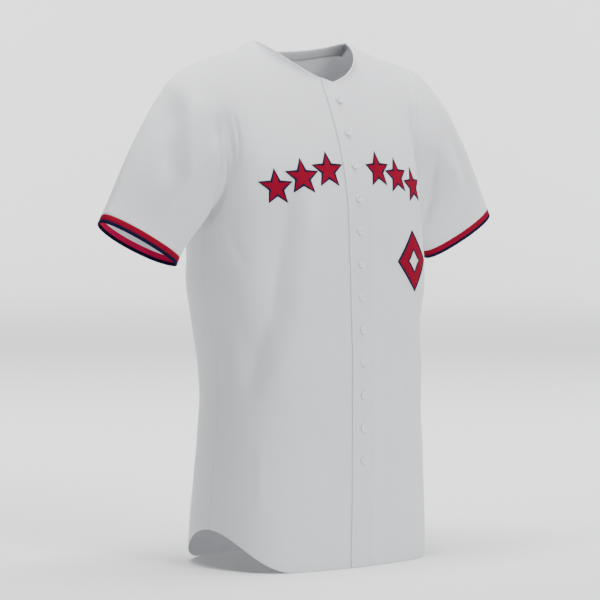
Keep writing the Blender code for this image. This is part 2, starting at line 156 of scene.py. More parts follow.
# Smaller creases that only the cloth has
BODY_CREASES = tuple(BodyFold(*row) for row in (
    (FRONT, -86, -178, -134, -430, 7, 17, 8.0),
    (FRONT, -60, -190, -98, -430, 7, 15, -3.4),
    (FRONT, -208, -92, -226, -200, 16, 10, 3.0),
    (FRONT, -238, -206, -250, -268, 0, 9, 5.0),
    (FRONT, 226, -96, 248, -240, -18, 14, 3.5),
    (FRONT, -214, -236, -150, -330, -8, 9, 1.5),
    (FRONT, -120, -300, -176, -420, 5, 10, -1.6),
    (FRONT, -24, -300, -46, -430, 3, 9, 1.2),
    (FRONT, 30, -262, 54, -352, -3, 9, 1.1),
    (FRONT, 190, -130, 226, -214, -14, 7, 1.6),
    (FRONT, 214, -250, 178, -318, 5, 8, 1.4),
    (FRONT, 150, -420, 118, -560, -6, 11, -1.7),
    (FRONT, -62, -520, -40, -690, 5, 14, 2.0),
    (FRONT, 96, -540, 120, -700, -5, 13, 2.0),
    (FRONT, -168, -540, -150, -680, 5, 12, -1.8),
    (BACK, -185, -128, -222, -214, 12, 8, 1.7),
    (BACK, 190, -122, 226, -206, -14, 8, 1.6),
    (BACK, -120, -250, -190, -340, 6, 10, 1.6),
    (BACK, 128, -262, 186, -336, -6, 10, 1.6),
    (BACK, -36, -300, -60, -470, 5, 13, -1.8),
    (BACK, 40, -420, 34, -640, 6, 14, 2.0),
    (BACK, 120, -520, 104, -690, -5, 13, 2.0),
    (BACK, -150, -540, -170, -690, 4, 13, 1.8),
))

# Soft folds of the sleeves. Around is in degrees from the top over the front, along is a share of the
# sleeve's length.
SleeveFold = namedtuple("SleeveFold", "side around_in along_in around_out along_out bow width depth")
SLEEVE_FOLDS = tuple(SleeveFold(*row) for row in (
    (RIGHT, 6, 0.18, 76, 0.66, 0, 17, 9.0),
    (RIGHT, 22, 0.09, 102, 0.54, 0, 14, -5.0),
    (RIGHT, 56, 0.07, 134, 0.09, 0, 16, 8.0),
    (RIGHT, 150, 0.05, 110, 0.45, 6, 12, 4.0),
    (RIGHT, 300, 0.20, 310, 0.75, 6, 16, 4.5),
    (RIGHT, 235, 0.06, 262, 0.50, 6, 13, 4.0),
    (LEFT, 50, 0.20, 62, 0.88, -5, 15, 4.5),
    (LEFT, 150, 0.05, 108, 0.50, 6, 13, 4.5),
    (LEFT, 95, 0.30, 88, 0.75, 4, 12, -2.5),
    (LEFT, 305, 0.25, 318, 0.80, -5, 16, 4.0),
    (LEFT, 230, 0.06, 258, 0.45, 6, 13, 4.5),
))
SLEEVE_CREASES = tuple(SleeveFold(*row) for row in (
    (RIGHT, 106, 0.06, 170, 0.16, 0, 12, 7.0),
    (LEFT, 92, 0.08, 166, 0.66, 0, 19, 7.5),
    (LEFT, 82, 0.12, 160, 0.62, 0, 8, 3.5),
    (LEFT, 70, 0.24, 128, 0.92, 0, 16, -2.6),
    (RIGHT, 20, 0.30, 36, 0.70, 3, 9, 1.4),
    (RIGHT, 118, 0.10, 132, 0.42, 3, 7, 1.6),
    (RIGHT, 92, 0.55, 112, 0.96, -3, 8, 1.5),
    (RIGHT, 200, 0.20, 214, 0.80, 4, 9, 1.6),
    (RIGHT, 338, 0.35, 330, 0.85, 3, 10, 1.4),
    (LEFT, 18, 0.35, 30, 0.80, -3, 9, 1.3),
    (LEFT, 122, 0.08, 134, 0.38, 3, 7, 1.6),
    (LEFT, 76, 0.60, 92, 0.97, -3, 8, 1.4),
    (LEFT, 196, 0.25, 206, 0.85, 4, 9, 1.6),
    (LEFT, 340, 0.30, 350, 0.75, -3, 10, 1.3),
))

# Cloth of the dressed part
CLOTH_WALL = 1.3
LAP_WALL = 1.9
RIM_ROUND = 0.35
TORSO_STEPS = 6
SLEEVE_ROWS = 54
BAND_ROWS = 5
EDGE_ROWS = 6
NEAR_SEAM = (0.06, 0.12, 0.24, 0.30, 0.36)
NEAR_HEM = (0.03, 0.50, 0.55, 0.60)
SAME_PLACE = 0.07
SEAM_BLEND = 14
MEETING_PASSES = 2
SEAM_GROOVE = 0.45
SEAM_GROOVE_WIDTH = 1.6
SEAM_PUCKER = 0.35
SEAM_PUCKER_LENGTH = 8
SEAM_PUCKER_REACH = 7
PUCKER_SEED = 7
RIPPLE = 0.8
RIPPLE_LENGTH = 48
RIPPLE_SEED = 3
STITCH_DENT = 0.25
STITCH_DENT_WIDTH = 1.2
NECK_STITCH = 6
HEM_STITCH = 16
HEM_RISE = 0.3
HEM_STEP = 2
BAND_RISE = 0.25
EDGE_RISE = 0.45

# Sewing
STITCH_PITCH = 3.2
STITCH_LENGTH = 2.4
THREAD_RADIUS = 0.24
STITCH_SIDES = 6
CUFF_STITCH = 2.2
PLACKET_STITCH = 5.5
PLACKET_INNER = 15
BUTTONHOLE = (15.0, 3.0)
BUTTONHOLE_BORDER = 1.1

# Buttons
BUTTON_GAP = 0.4
BUTTON_SEGMENTS = 48
BUTTON_PROFILE = (
    (5.0, 0.0), (5.45, 0.15), (5.7, 0.55), (5.75, 1.1), (5.7, 1.65), (5.45, 2.15), (5.1, 2.36), (4.7, 2.4),
    (4.2, 2.3), (3.7, 2.02), (3.2, 1.86), (2.7, 1.8), (2.35, 1.79), (2.0, 1.78), (1.7, 1.78), (1.4, 1.78),
    (1.1, 1.78), (0.75, 1.78), (0.35, 1.78))
BUTTON_WELL = 1.7
BUTTON_HOLE = 1.15
BUTTON_HOLE_DEPTH = 1.0
BUTTON_HOLE_WIDTH = 0.5
BUTTON_THREAD = 0.36
BUTTON_THREAD_DIP = 0.5
BUTTON_THREAD_RISE = 0.1


def ease(share):
    share = np.clip(share, 0, 1)
    return share * share * (3 - 2 * share)


def unit(vectors):
    return vectors / np.linalg.norm(vectors, axis=-1, keepdims=True)


def lengths_along(grid, axis):
    """Distance run along the rows (axis 1) or the columns (axis 0) of points, from the first one."""
    steps = np.linalg.norm(np.diff(grid, axis=axis), axis=-1)
    return np.concatenate([np.zeros_like(steps.take([0], axis=axis)), np.cumsum(steps, axis=axis)], axis=axis)


def smooth_through(stations, values, at):
    """A smooth curve through the values at rising stations."""
    slopes = np.gradient(values, stations)
    left = np.clip(np.searchsorted(stations, at) - 1, 0, len(stations) - 2)
    step = stations[left + 1] - stations[left]
    t = (at - stations[left]) / step
    return ((2 * t**3 - 3 * t**2 + 1) * values[left] + (t**3 - 2 * t**2 + t) * step * slopes[left]
            + (3 * t**2 - 2 * t**3) * values[left + 1] + (t**3 - t**2) * step * slopes[left + 1])


def curve_through(points, count):
    """Points spaced evenly along a smooth curve through the given ones."""
    points = np.array(points, float)
    along = lengths_along(points, 0)
    stations = np.linspace(0, along[-1], count)
    return np.stack([smooth_through(along, points[:, axis], stations) for axis in range(3)], axis=1)


def interpolated(at, run, values):
    """Every column of the values at the given distances along a line."""
    return np.stack([np.interp(at, run, column) for column in values.T], axis=-1)


def place_on(at, run, points, normals):
    """Points and unit normals at the given distances along a line of cloth."""
    return interpolated(at, run, points), unit(interpolated(at, run, normals))


def span(start, leave, end, arrive, t):
    """A cubic from start to end with given pulls at both."""
    return ((2 * t**3 - 3 * t**2 + 1) * start + (t**3 - 2 * t**2 + t) * leave
            + (3 * t**2 - 2 * t**3) * end + (t**3 - t**2) * arrive)


def torso_ring(z, share, side):
    """Half a ring at height z, from its centre (share 0) to its side seam (share 1)."""
    table = np.array(RINGS, float)
    half_width, front, back = (smooth_through(table[:, 0], table[:, i], z) for i in (1, 2, 3))
    middle = (front + back) / 2
    depth = (back - front) / 2
    angle = share * pi / 2
    square = SQUARENESS[side]
    x = half_width * (np.sin(angle) + square * np.sin(3 * angle)) / (1 - square)
    y = middle + side * depth * (np.cos(angle) - square * np.cos(3 * angle)) / (1 - square)
    return np.stack([x, y, z + 0 * x], axis=-1)


def lower_half(side):
    """Rows from the shirt-tail hem up to the chest ring."""
    share = np.linspace(0, 1, COLUMNS + 1)
    hem = HEM_Z + TAIL_RISE * ease((share - TAIL_STARTS) / (1 - TAIL_STARTS))
    rows = [hem + (CHEST_Z - hem) * row / LOWER_ROWS for row in range(LOWER_ROWS + 1)]
    return np.array([torso_ring(z, share, side) for z in rows])


def yoke_half(side):
    """Rows from the chest ring up to the neckline, the shoulder seam and the armhole."""
    share = np.linspace(0, 1, COLUMNS + 1)
    neck = curve_through(NECKLINE[side], NECK_COLUMNS + 1)
    shoulder = curve_through(SHOULDER_SEAM, COLUMNS - NECK_COLUMNS + 1)
    top = np.vstack([neck, shoulder[1:]])
    chest = torso_ring(np.full(COLUMNS + 1, float(CHEST_Z)), share, side)
    pulls = Yoke(*(np.array(vector, float) for vector in YOKE[side]))
    neck_share = NECK_COLUMNS / COLUMNS
    to_side = ease((share - SIDE_BEGINS) / (1 - SIDE_BEGINS))[:, None]
    to_neck = ease(share / neck_share)[:, None]
    to_shoulder = ease((share - neck_share) / SHOULDER_BLEND)[:, None]
    to_armhole = ease((share - ARMHOLE_BEGINS) / (1 - ARMHOLE_BEGINS))[:, None]
    leave = pulls.chest_centre + (pulls.chest_side - pulls.chest_centre) * to_side
    arrive = pulls.top_centre + (pulls.top_neck - pulls.top_centre) * to_neck
    arrive = arrive + (pulls.top_shoulder - arrive) * to_shoulder
    arrive = arrive + (pulls.top_armhole - arrive) * to_armhole
    return np.array([span(chest, leave, top, arrive, row / YOKE_ROWS) for row in range(YOKE_ROWS + 1)])


def mirrored(grid):
    return grid * np.array([-1.0, 1.0, 1.0])


def relaxed(grid):
    """Evens out the yoke between its edges, so that the cloth spans them without creases."""
    grid = grid.copy()
    first = LOWER_ROWS - SMOOTHED_BELOW_CHEST
    fade = ease((np.arange(first, len(grid) - 1) - first + 1) / SMOOTHING_FADE)
    weight = SMOOTHING_WEIGHT * fade[:, None, None]
    for _ in range(SMOOTHING_PASSES):
        around = (grid[first - 1:-2, 1:-1] + grid[first + 1:, 1:-1]
                  + grid[first:-1, :-2] + grid[first:-1, 2:]) / 4
        middle = grid[first:-1, 1:-1]
        grid[first:-1, 1:-1] = middle + weight * (around - middle)
    return grid


def torso_side(side):
    """The whole front or back, from the wearer's right side seam to the left one, hem to shoulder."""
    half = np.vstack([lower_half(side), yoke_half(side)[1:]])
    whole = np.concatenate([mirrored(half)[:, :0:-1], half], axis=1)
    return relaxed(whole)


def fold_depth(u, v, start, end, fold):
    """Depth of one soft trough that runs from start to end on the flat cloth and bows sideways."""
    run = np.array(end, float) - np.array(start, float)
    length = hypot(*run)
    along = ((u - start[0]) * run[0] + (v - start[1]) * run[1]) / length**2
    aside = ((v - start[1]) * run[0] - (u - start[0]) * run[1]) / length
    inside = np.clip(along, 0, 1)
    aside = aside - fold.bow * 4 * inside * (1 - inside)
    beyond = (along - inside) * length
    fade = ease(inside / FOLD_FADE) * ease((1 - inside) / FOLD_FADE)
    return fold.depth * fade * np.exp(-(aside**2 + beyond**2) / fold.width**2)


def torso_depths(side, u, v):
    depths = np.zeros(u.shape)
    for fold in BODY_FOLDS + BODY_CREASES:
        if fold.side == side:
            start = (fold.across_top, fold.z_top)
            end = (fold.across_low, fold.z_low)
            depths += fold_depth(u, v, start, end, fold)
    return depths


def sleeve_depths(side, degrees, along):
    depths = np.zeros(degrees.shape)
    for fold in SLEEVE_FOLDS + SLEEVE_CREASES:
        if fold.side != side:
            continue
        middle = (fold.around_in + fold.around_out) / 2
        u = np.radians((degrees - middle + 180) % 360 - 180 + middle) * SLEEVE_RADIUS
        v = np.minimum(along, 1) * SLEEVE_LENGTH
        start = (radians(fold.around_in) * SLEEVE_RADIUS, fold.along_in * SLEEVE_LENGTH)
        end = (radians(fold.around_out) * SLEEVE_RADIUS, fold.along_out * SLEEVE_LENGTH)
        depths += fold_depth(u, v, start, end, fold)
    return depths


def spline_weights(count, at):
    """Weights that turn values at 0, 1, 2 ... into those of a smooth curve at the given places."""
    system = np.eye(count)
    bend = np.zeros((count, count))
    for i in range(1, count - 1):
        system[i, i - 1:i + 2] = (1, 4, 1)
        bend[i, i - 1:i + 2] = (6, -12, 6)
    second = np.linalg.solve(system, bend)
    left = np.clip(np.floor(at).astype(int), 0, count - 2)
    t = (at - left)[:, None]
    values = np.eye(count)
    return ((1 - t) * values[left] + t * values[left + 1]
            + ((1 - t)**3 - (1 - t)) / 6 * second[left] + (t**3 - t) / 6 * second[left + 1])


def cornered_weights(count, at, corners):
    """The same, but the curve may turn sharply at the given corners."""
    weights = np.zeros((len(at), count))
    ends = (0,) + tuple(corners) + (count - 1,)
    for first, last in zip(ends, ends[1:]):
        inside = (at >= first) & (at <= last)
        weights[inside] = 0
        weights[np.ix_(inside, range(first, last + 1))] = spline_weights(last - first + 1, at[inside] - first)
    return weights


def fine_stations(last, near_start=(), near_end=(), steps=TORSO_STEPS):
    """Evenly spaced places from 0 to last, with more beside the seams."""
    even = np.arange(last * steps + 1) / steps
    extra = list(near_start) + [last - gap for gap in near_end]
    return np.unique(np.round(np.concatenate([even, extra]), 4))


def finer(grid, rows, columns, corners):
    """A smooth grid through the coarse one; seams keep their corners at the armholes and the neck."""
    count = grid.shape[1]
    from_side = np.minimum(np.arange(count), np.arange(count)[::-1])
    sharp = ease(1 - from_side / LAP_REACH)[None, :, None]
    soft_rows = np.einsum("ij,jkl->ikl", spline_weights(len(grid), rows), grid)
    sharp_rows = np.einsum("ij,jkl->ikl", cornered_weights(len(grid), rows, (LOWER_ROWS,)), grid)
    tall = soft_rows + (sharp_rows - soft_rows) * sharp
    from_top = ease(1 - (len(grid) - 1 - rows) / LAP_REACH)[:, None, None]
    soft = np.einsum("ij,kjl->kil", spline_weights(count, columns), tall)
    hard = np.einsum("ij,kjl->kil", cornered_weights(count, columns, corners), tall)
    return soft + (hard - soft) * from_top


def left_sleeve(front, back, rows, along):
    """Rings from the armhole to the cloth's end; each runs from the underarm over the back."""
    upper = rows >= LOWER_ROWS
    turned = (rows[upper] - LOWER_ROWS) / YOKE_ROWS
    armhole = np.vstack([back[upper, -1], front[upper, -1][-2::-1]])
    angle = np.concatenate([pi * (1 + turned), pi * (3 - turned[-2::-1])])[:, None]
    across = np.array([cos(ARM_ANGLE), 0, sin(ARM_ANGLE)])
    axis = np.array([sin(ARM_ANGLE), 0, -cos(ARM_ANGLE)])
    backwards = np.array([0, 1.0, 0])
    deep = np.where(np.sin(angle) > 0, CUFF_DEEP[FRONT], CUFF_DEEP[BACK])
    cuff = np.array(CUFF_CENTRE) + CUFF_ACROSS * np.cos(angle) * across - deep * np.sin(angle) * backwards
    sleeve_end = cuff - axis * (BAND_WIDTH + EDGE_WIDTH)
    parts = (
        (CAP_TOP, np.clip(np.cos(angle), 0, 1)),
        (CAP_UNDER, np.clip(-np.cos(angle), 0, 1)),
        (CAP_FRONT, np.clip(np.sin(angle), 0, 1) ** CAP_SIDE_SHARPNESS),
        (CAP_BACK, np.clip(-np.sin(angle), 0, 1) ** CAP_SIDE_SHARPNESS),
    )
    total = sum(weight for _, weight in parts)
    leave = sum(np.array(pull[:3]) * pull.length * weight for pull, weight in parts) / total
    arrive = axis * (CUFF_PULL_UNDER + (CUFF_PULL_TOP - CUFF_PULL_UNDER) * (1 + np.cos(angle)) / 2)
    rings = [span(armhole, leave, sleeve_end, arrive, t) for t in along]
    rings += [sleeve_end + axis * BAND_WIDTH * step / BAND_ROWS for step in range(1, BAND_ROWS + 1)]
    rings += [cuff - axis * EDGE_WIDTH * (1 - step / EDGE_ROWS) for step in range(1, EDGE_ROWS + 1)]
    return np.array(rings), np.degrees(angle[:, 0])


def shared_points(grids):
    """Numbers the places of all grids, the same number where two pieces meet."""
    points = np.vstack([grid.reshape(-1, 3) for grid in grids])
    _, numbers = np.unique(np.round(points / SAME_PLACE).astype(int), axis=0, return_inverse=True)
    return numbers.reshape(-1)


def averaged(grids, numbers):
    """Gives places that share a number their mean value."""
    width = grids[0].shape[2]
    values = np.vstack([grid.reshape(-1, width) for grid in grids])
    total = np.zeros((numbers.max() + 1, width))
    np.add.at(total, numbers, values)
    mean = (total / np.bincount(numbers)[:, None])[numbers]
    ends = np.cumsum([grid.shape[0] * grid.shape[1] for grid in grids])[:-1]
    return [part.reshape(grid.shape) for part, grid in zip(np.split(mean, ends), grids)]


def grid_normals(grid, turn):
    """Outward normals, from the directions along the rows and the columns."""
    return unit(turn * np.cross(np.gradient(grid, axis=1), np.gradient(grid, axis=0)))


def seam_distances(grid):
    """Distances to the first and last column and to the first and last row."""
    across = lengths_along(grid, 1)
    up = lengths_along(grid, 0)
    return across, across[:, -1:] - across, up, up[-1:] - up


def met_at_seams(depths, borders, numbers):
    """Lets the depths of neighbouring pieces run into each other at their seams."""
    for _ in range(MEETING_PASSES):
        mean = averaged([depth[..., None] for depth in depths], numbers)
        for depth, shared, (first, last, low, high, ends) in zip(depths, mean, borders):
            gap = shared[..., 0] - depth
            for distance, edge in ((first, gap[:, :1]), (last, gap[:, -1:])):
                if ends != "sleeve":
                    depth += edge * np.exp(-(distance / SEAM_BLEND)**2)
            gap = shared[..., 0] - depth
            if ends == "sleeve":
                depth += gap[:1] * np.exp(-(low / SEAM_BLEND)**2)
            else:
                depth += gap[-1:] * np.exp(-(high / SEAM_BLEND)**2)
    return depths


def ripples(grid, length, seed):
    """Slow unevenness of the cloth, from -1 to 1."""
    flat = grid.reshape(-1, 3) / length
    values = [noise.noise(Vector((x + seed, y, z))) for x, y, z in flat]
    return np.array(values).reshape(grid.shape[:2])


def seam_relief(grid, distance):
    """A groove along a seam and small puckers beside it; inward is positive."""
    groove = SEAM_GROOVE * np.exp(-(distance / SEAM_GROOVE_WIDTH)**2)
    pucker = SEAM_PUCKER * ripples(grid, SEAM_PUCKER_LENGTH, PUCKER_SEED)
    return groove + pucker * np.exp(-(distance / SEAM_PUCKER_REACH)**2)


def stitch_dent(distance, at):
    return STITCH_DENT * np.exp(-((distance - at) / STITCH_DENT_WIDTH)**2)


Cloth = namedtuple("Cloth", "points normals across up")


def coat():
    """Fine grids of the front, the back and the two sleeves, with folds, seams and sewing."""
    rows = fine_stations(LOWER_ROWS + YOKE_ROWS, NEAR_HEM, NEAR_SEAM)
    columns = fine_stations(2 * COLUMNS, NEAR_SEAM, NEAR_SEAM)
    sides = (COLUMNS - NECK_COLUMNS, COLUMNS + NECK_COLUMNS)
    front = finer(torso_side(FRONT), rows, columns, (sides[0], COLUMNS, sides[1]))
    back = finer(torso_side(BACK), rows, columns, sides)
    along = np.unique(np.round(np.concatenate([np.arange(SLEEVE_ROWS + 1) / SLEEVE_ROWS,
                                               np.array(NEAR_SEAM) / 10]), 4))
    sleeve, degrees = left_sleeve(front, back, rows, along)
    grids = [front, back, sleeve, mirrored(sleeve)]
    turns = (1, -1, 1, -1)
    numbers = shared_points(grids)
    names = ("front", "back", "sleeve", "sleeve")
    borders = [seam_distances(grid) + (name,) for grid, name in zip(grids, names)]
    across = (columns / COLUMNS - 1)[None, :] * QUARTER_CHEST
    share = np.concatenate([along, np.full(BAND_ROWS + EDGE_ROWS, 1.0)])[:, None] + 0 * degrees[None, :]
    turned = degrees[None, :] + 0 * share
    depths = [torso_depths(side, across + 0 * grid[..., 0], grid[..., 2])
              for side, grid in ((FRONT, front), (BACK, back))]
    depths += [sleeve_depths(side, turned, share) for side in (LEFT, RIGHT)]
    depths = met_at_seams(depths, borders, numbers)
    neck = (columns >= sides[0]) & (columns <= sides[1])
    for number, (grid, border) in enumerate(zip(grids, borders)):
        first, last, low, high = border[:4]
        depths[number] += RIPPLE * ripples(grid, RIPPLE_LENGTH, RIPPLE_SEED)
        if border[4] == "sleeve":
            depths[number] += seam_relief(grid, low)
            under = np.minimum(first, last)
            depths[number] += seam_relief(grid, under) * (share < 1)
            continue
        depths[number] += seam_relief(grid, np.minimum(first, last))
        shoulder = seam_relief(grid, high)
        dent = stitch_dent(high, NECK_STITCH)
        depths[number] += np.where(neck[None, :], dent, shoulder)
        depths[number] += stitch_dent(low, HEM_STITCH)
        depths[number] -= HEM_RISE * ease((HEM_STITCH + HEM_STEP / 2 - low) / HEM_STEP)
    normals = averaged([grid_normals(*row) for row in zip(grids, turns)], numbers)
    folded = [grid - depth[..., None] * unit(normal) for grid, depth, normal in zip(grids, depths, normals)]
    folded = averaged(folded, numbers)
    normals = averaged([grid_normals(*row) for row in zip(folded, turns)], numbers)
    return [Cloth(grid, unit(normal), lengths_along(grid, 1), lengths_along(grid, 0))
            for grid, normal in zip(folded, normals)]


def part_of(cloth, rows=slice(None), columns=slice(None)):
    return Cloth(*(values[rows, columns] for values in cloth))


def joined(*parts):
    return Cloth(*(np.concatenate(values, axis=1) for values in zip(*parts)))


def raised(cloth, rise):
    """The cloth moved out by one value, or by one for each row or each point."""
    return cloth._replace(points=cloth.points + np.asarray(rise)[..., None] * cloth.normals)


def strip_at_x(cloth, edges):
    """Extra columns past the centre front, at the given x."""
    middle = cloth.points.shape[1] // 2
    reach = LAP_REACH * TORSO_STEPS
    near = slice(middle - reach, middle + reach + 1)
    rows = len(cloth.points)
    points = np.zeros((rows, len(edges), 3))
    normals = np.zeros((rows, len(edges), 3))
    flat = np.zeros((2, rows, len(edges)))
    for row in range(rows):
        x = cloth.points[row, near, 0]
        points[row], normals[row] = place_on(edges, x, cloth.points[row, near], cloth.normals[row, near])
        flat[0, row] = np.interp(edges, x, cloth.across[row, near])
        flat[1, row] = np.interp(edges, x, cloth.up[row, near])
    return Cloth(points, normals, flat[0], flat[1])


def make_mesh(name, points, faces, material, flat=None):
    """A smooth mesh object in metres; flat holds each point's place on the flat cloth."""
    mesh = bpy.data.meshes.new(name)
    mesh.from_pydata(np.asarray(points) * MM, [], faces)
    mesh.materials.append(material)
    mesh.shade_smooth()
    if flat is not None:
        layer = mesh.uv_layers.new(name="flat")
        corner = np.empty(len(mesh.loops), np.int32)
        mesh.loops.foreach_get("vertex_index", corner)
        layer.data.foreach_set("uv", (np.asarray(flat)[corner] * FLAT_SCALE).astype(np.float32).ravel())
    made = bpy.data.objects.new(name, mesh)
    bpy.context.scene.collection.objects.link(made)
    return made


def grid_faces(rows, count, first=0):
    row, column = np.meshgrid(np.arange(rows - 1), np.arange(count - 1), indexing="ij")
    corner = (first + row * count + column).ravel()
    return np.stack([corner, corner + 1, corner + count + 1, corner + count], axis=1)


# The corners of a face in this order turn it over
FLIPPED = [0, 3, 2, 1]


def ring_faces(rings, around):
    """Faces between closed rings of points that follow one another."""
    faces = []
    for ring in range(rings - 1):
        for side in range(around):
            here = ring * around + side
            beside = ring * around + (side + 1) % around
            faces.append([here, beside, beside + around, here + around])
    return faces


def shell(name, cloth, turn, material, wall=CLOTH_WALL, inner_material=None):
    """A closed wall of cloth with rounded edges between the outer points and the same ones moved in."""
    outer = cloth.points
    rows, count = outer.shape[:2]
    inner = outer - wall * cloth.normals
    border = [(0, column) for column in range(count)]
    border += [(row, count - 1) for row in range(1, rows)]
    border += [(rows - 1, column) for column in range(count - 2, -1, -1)]
    border += [(row, 0) for row in range(rows - 2, 0, -1)]
    row, column = np.array(border).T
    edge = outer[row, column]
    normal = cloth.normals[row, column]
    away = edge - outer[np.clip(row, 1, rows - 2), np.clip(column, 1, count - 2)]
    away = unit(away - (away * normal).sum(axis=1, keepdims=True) * normal)
    rim = edge - wall / 2 * normal + RIM_ROUND * away
    points = np.vstack([outer.reshape(-1, 3), inner.reshape(-1, 3), rim])
    here = row * count + column
    there = np.roll(here, -1)
    flat = np.stack([cloth.across, cloth.up], axis=-1).reshape(-1, 2)
    flat = np.vstack([flat, flat, flat[here]])
    size = rows * count
    faces = [grid_faces(rows, count), grid_faces(rows, count, size)[:, ::-1]]
    middle = 2 * size + np.arange(len(border))
    beyond = np.roll(middle, -1)
    faces.append(np.stack([there, here, middle, beyond], axis=1))
    faces.append(np.stack([beyond, middle, here + size, there + size], axis=1))
    faces = np.vstack(faces)
    if turn < 0:
        faces = faces[:, ::-1]
    made = make_mesh(name, points, faces.tolist(), material, flat)
    if inner_material:
        made.data.materials.append(inner_material)
        outer_faces = (rows - 1) * (count - 1)
        for face in made.data.polygons[outer_faces:2 * outer_faces]:
            face.material_index = 1
    return made


# Shader nodes
# The length over which a wave texture of scale 1 repeats
WAVE_REPEAT = 2 * pi / 20


class Nodes:
    """A material's node tree with short calls for making and joining nodes."""

    def __init__(self, name):
        self.material = bpy.data.materials.new(name)
        self.material.use_nodes = True
        self.tree = self.material.node_tree
        self.shader = self.tree.nodes["Principled BSDF"]

    def join(self, value, socket):
        """Links a value that is another socket, and sets any other."""
        if isinstance(value, bpy.types.NodeSocket):
            self.tree.links.new(value, socket)
        else:
            socket.default_value = value

    def add(self, kind, inputs=None, **settings):
        node = self.tree.nodes.new(kind)
        for key, value in settings.items():
            setattr(node, key, value)
        for key, value in (inputs or {}).items():
            self.join(value, node.inputs[key])
        return node

    def set(self, **values):
        for key, value in values.items():
            self.join(value, self.shader.inputs[key.replace("_", " ")])

    def mix(self, factor, first, second):
        node = self.add("ShaderNodeMix", data_type="RGBA")
        self.join(factor, node.inputs["Factor"])
        self.join((*first, 1), node.inputs[6])
        self.join((*second, 1), node.inputs[7])
        return node.outputs[2]

    def math(self, operation, *values):
        node = self.add("ShaderNodeMath", operation=operation)
        for socket, value in zip(node.inputs, values):
            self.join(value, socket)
        return node.outputs[0]

    def place(self):
        return self.add("ShaderNodeTexCoord").outputs["Object"]

    def flat_place(self):
        return self.add("ShaderNodeUVMap", uv_map="flat").outputs[0]

    def noise(self, place, scale, **inputs):
        return self.add("ShaderNodeTexNoise", {"Vector": place, "Scale": scale, **inputs}).outputs["Fac"]

    def wave(self, place, pitch, direction):
        """Waves across the flat cloth, one every pitch millimetres."""
        scale = WAVE_REPEAT / (pitch * FLAT_SCALE)
        wave = self.add("ShaderNodeTexWave", {"Vector": place, "Scale": scale}, bands_direction=direction)
        return wave.outputs["Fac"]

    def bump(self, strength, depth, height):
        """Relief, with its depth in millimetres."""
        bump = self.add("ShaderNodeBump", {"Strength": strength, "Distance": depth * MM, "Height": height})
        self.set(Normal=bump.outputs["Normal"])


CLOTH_GLOW = 0.5
GLOW_REACH = 4.0
MOTTLE_SCALE = 14.0
MOTTLE_SHARE = 0.7
FIBRE_SCALE = 900.0
FIBRE_RELIEF = 0.5
KNIT_RELIEF = 0.35
SHEEN_SPREAD = 0.45
THREAD_PITCH = 0.6
THREAD_UNEVEN_SCALE = 700.0
THREAD_UNEVEN = 0.6
SATIN_RELIEF = 0.5
SATIN_DEPTH = 0.15
SATIN_ROUGHNESS = 0.6
SATIN_GLOSS = 0.1


def knit_material(name, colour, darker, wale=1.1, course=0.9, roughness=0.66, sheen=0.22, depth=0.05,
                  gloss=0.5, glow=0.0):
    """Double knit: fine ribs with courses across them, a little mottling and a soft sheen."""
    nodes = Nodes(name)
    place = nodes.place()
    mottle = nodes.noise(place, MOTTLE_SCALE, Detail=5.0, Roughness=0.6)
    fibre = nodes.noise(place, FIBRE_SCALE, Detail=2.0)
    flat_place = nodes.flat_place()
    height = nodes.math("MULTIPLY", nodes.wave(flat_place, wale, "X"), nodes.wave(flat_place, course, "Y"))
    # The colour is partly random mottling and partly painted shade: the knit's low places, from the same
    # waves as its relief, are coloured darker.
    mottle_and_knit_shade = nodes.math("ADD", nodes.math("MULTIPLY", mottle, MOTTLE_SHARE),
                      nodes.math("MULTIPLY", height, 1 - MOTTLE_SHARE))
    nodes.bump(KNIT_RELIEF, depth, nodes.math("ADD", height, nodes.math("MULTIPLY", fibre, FIBRE_RELIEF)))
    nodes.set(Base_Color=nodes.mix(mottle_and_knit_shade, darker, colour), Roughness=roughness, Sheen_Weight=sheen,
              Sheen_Roughness=SHEEN_SPREAD, Specular_IOR_Level=gloss)
    if glow:
        nodes.set(Subsurface_Weight=glow, Subsurface_Radius=(1, 1, 1), Subsurface_Scale=GLOW_REACH * MM)
    return nodes.material


def satin_material(name, colour, darker):
    """Close rows of thread across a border."""
    nodes = Nodes(name)
    rows = nodes.wave(nodes.flat_place(), THREAD_PITCH, "X")
    uneven = nodes.noise(nodes.place(), THREAD_UNEVEN_SCALE, Detail=3.0)
    height = nodes.math("ADD", rows, nodes.math("MULTIPLY", uneven, THREAD_UNEVEN))
    nodes.bump(SATIN_RELIEF, SATIN_DEPTH, height)
    # The colour follows the relief: the low places between the rows of thread are painted darker, a painted
    # shade, with random unevenness besides.
    nodes.set(Base_Color=nodes.mix(height, darker, colour), Roughness=SATIN_ROUGHNESS,
              Specular_IOR_Level=SATIN_GLOSS)
    return nodes.material


def clouded_material(name, colour, shade, scale, detail, relief=None, **shader):
    """One colour with darker clouds in it; relief is their strength and depth."""
    nodes = Nodes(name)
    cloud = nodes.noise(nodes.place(), scale, Detail=detail)
    nodes.set(Base_Color=nodes.mix(cloud, tuple(value * shade for value in colour), colour), **shader)
    if relief:
        nodes.bump(*relief, cloud)
    return nodes.material


CLOTH_GREY = (0.70, 0.71, 0.735)
CLOTH_SHADE = (0.655, 0.665, 0.69)
BAND_RED = (0.24, 0.002, 0.020)
BAND_RED_SHADE = (0.19, 0.0015, 0.015)
# The inside of the cuff band is the same red tape as the outside, painted brighter: painted light for the
# inside, which the lamps reach less.
BAND_RED_INSIDE_PAINTED_LIGHT = (0.62, 0.010, 0.085)
BAND_RED_INSIDE_PAINTED_LIGHT_DARKER = (0.52, 0.008, 0.070)
EDGE_NAVY = (0.007, 0.005, 0.032)
EDGE_NAVY_SHADE = (0.004, 0.003, 0.021)
BUTTON_WHITE = (0.78, 0.79, 0.81)
THREAD_WHITE = (0.72, 0.73, 0.75)

